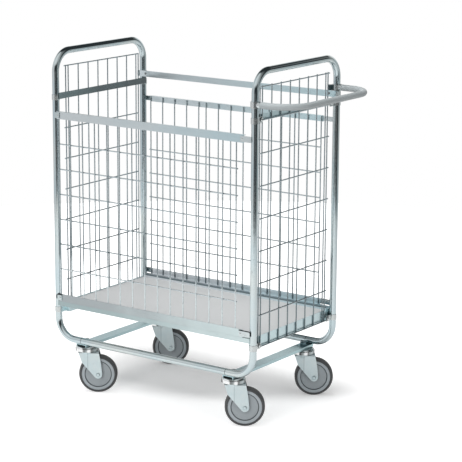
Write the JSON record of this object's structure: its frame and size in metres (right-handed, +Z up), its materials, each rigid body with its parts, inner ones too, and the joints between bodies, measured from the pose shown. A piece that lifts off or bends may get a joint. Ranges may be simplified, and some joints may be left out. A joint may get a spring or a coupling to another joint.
{
  "type": "order picking trolley",
  "caption": "Tall mesh-sided picking trolley: bent steel tube end frames, board platform, wire panels, a push handle and swivel casters.",
  "frame": {"origin": "floor level, under the middle of the whole outline", "axes": "+X along the length towards the push handle, +Y to the rear long side, +Z up"},
  "size_m": [0.9298, 0.5032, 1.123],
  "materials": {
    "tube_steel": "bright zinc plated tube and strip",
    "panel_steel": "zinc plated folded sheet",
    "wire_steel": "zinc plated welded wire",
    "caster_steel": "zinc plated pressed sheet",
    "sleeve_steel": "plain steel",
    "board_laminate": "pale grey laminate on board",
    "handle_coat": "grey coated tube",
    "cap_black": "black moulded plastic",
    "wheel_grey": "grey moulded plastic",
    "tyre": "dark grey rubber"
  },
  "bodies": {
    "trolley_frame": {"end_frame_right": "tube_steel", "end_frame_left": "tube_steel", "side_rail_front": "tube_steel", "side_rail_rear": "tube_steel", "rail_spigots": "tube_steel", "caster_beam_right": "tube_steel", "caster_beam_left": "tube_steel", "caster_plates": "caster_steel", "thrust_rings": "caster_steel", "king_bolts": "caster_steel", "king_nuts": "caster_steel", "deck_board": "board_laminate", "deck_edge_rear": "panel_steel", "deck_edge_front": "panel_steel", "deck_end_right": "tube_steel", "deck_end_left": "tube_steel", "deck_end_bands": "tube_steel", "deck_band_screws": "tube_steel", "end_strip_bands": "tube_steel", "strip_band_screws": "tube_steel", "end_strip_right": "tube_steel", "end_strip_left": "tube_steel", "rear_tie_bar": "tube_steel", "tie_bar_bands": "tube_steel", "tie_bar_bolts": "tube_steel", "end_mesh_right": "wire_steel", "end_mesh_left": "wire_steel", "front_mesh": "wire_steel", "rear_mesh": "wire_steel", "front_top_rail": "panel_steel", "front_bottom_rail": "panel_steel", "rear_top_rail": "panel_steel", "rear_bottom_rail": "panel_steel", "panel_hooks": "panel_steel", "hook_rivets": "tube_steel", "handle_tube": "handle_coat", "handle_collars": "tube_steel", "handle_caps": "cap_black"},
    "swivel_front_left": {"fork_front_left": "caster_steel", "axle_rivet_front_left": "caster_steel", "axle_sleeve_front_left": "sleeve_steel"},
    "roller_front_left": {"wheel_centre_front_left": "wheel_grey", "tyre_front_left": "tyre"},
    "swivel_front_right": {"fork_front_right": "caster_steel", "axle_rivet_front_right": "caster_steel", "axle_sleeve_front_right": "sleeve_steel"},
    "roller_front_right": {"wheel_centre_front_right": "wheel_grey", "tyre_front_right": "tyre"},
    "swivel_rear_left": {"fork_rear_left": "caster_steel", "axle_rivet_rear_left": "caster_steel", "axle_sleeve_rear_left": "sleeve_steel"},
    "roller_rear_left": {"wheel_centre_rear_left": "wheel_grey", "tyre_rear_left": "tyre"},
    "swivel_rear_right": {"fork_rear_right": "caster_steel", "axle_rivet_rear_right": "caster_steel", "axle_sleeve_rear_right": "sleeve_steel"},
    "roller_rear_right": {"wheel_centre_rear_right": "wheel_grey", "tyre_rear_right": "tyre"}
  },
  "joints": [
    {"name": "swivel_turn_front_left", "type": "hinge", "parent": "trolley_frame", "child": "swivel_front_left", "pos_m": [-0.35915, -0.2078, 0.141], "axis": [0, 0, 1], "continuous": true},
    {"name": "wheel_roll_front_left", "type": "hinge", "parent": "swivel_front_left", "child": "roller_front_left", "pos_m": [-0.32977, -0.187, 0.0625], "axis": [-0.5779, 0.8161, 0], "continuous": true},
    {"name": "swivel_turn_front_right", "type": "hinge", "parent": "trolley_frame", "child": "swivel_front_right", "pos_m": [0.22485, -0.2078, 0.141], "axis": [0, 0, 1], "continuous": true},
    {"name": "wheel_roll_front_right", "type": "hinge", "parent": "swivel_front_right", "child": "roller_front_right", "pos_m": [0.25423, -0.187, 0.0625], "axis": [-0.5779, 0.8161, 0], "continuous": true},
    {"name": "swivel_turn_rear_left", "type": "hinge", "parent": "trolley_frame", "child": "swivel_rear_left", "pos_m": [-0.35915, 0.1842, 0.141], "axis": [0, 0, 1], "continuous": true},
    {"name": "wheel_roll_rear_left", "type": "hinge", "parent": "swivel_rear_left", "child": "roller_rear_left", "pos_m": [-0.32977, 0.205, 0.0625], "axis": [-0.5779, 0.8161, 0], "continuous": true},
    {"name": "swivel_turn_rear_right", "type": "hinge", "parent": "trolley_frame", "child": "swivel_rear_right", "pos_m": [0.22485, 0.1842, 0.141], "axis": [0, 0, 1], "continuous": true},
    {"name": "wheel_roll_rear_right", "type": "hinge", "parent": "swivel_rear_right", "child": "roller_rear_right", "pos_m": [0.25423, 0.205, 0.0625], "axis": [-0.5779, 0.8161, 0], "continuous": true}
  ]
}
